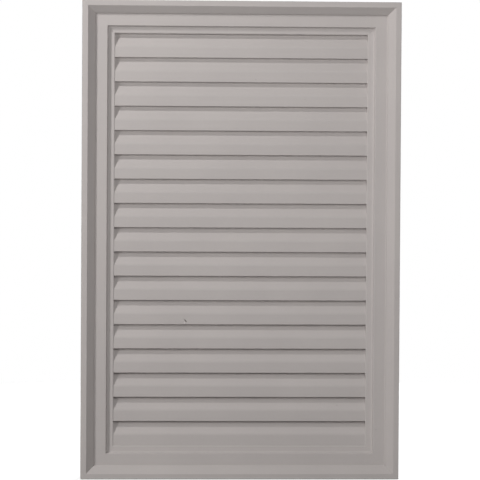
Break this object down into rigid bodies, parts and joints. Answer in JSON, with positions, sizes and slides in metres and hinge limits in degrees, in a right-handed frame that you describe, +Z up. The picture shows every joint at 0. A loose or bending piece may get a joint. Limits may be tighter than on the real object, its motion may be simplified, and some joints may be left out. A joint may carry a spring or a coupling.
{
  "type": "gable vent",
  "caption": "Upright rectangular louvred gable vent moulded in one piece, with a stepped picture-frame border, fixed sloping louvres and a flat closed back that lies on a wall.",
  "frame": {"origin": "centre of the flat back, in the plane of the wall it is fixed to", "axes": "+Z up, +X to the right seen from the front, +Y into the wall; the louvres look along -Y"},
  "size_m": [0.6096, 0.0508, 0.9144],
  "materials": {
    "primed_moulding": "matt factory primer, warm off-white"
  },
  "bodies": {
    "root": {"vent_moulding": "primed_moulding"}
  },
  "joints": []
}
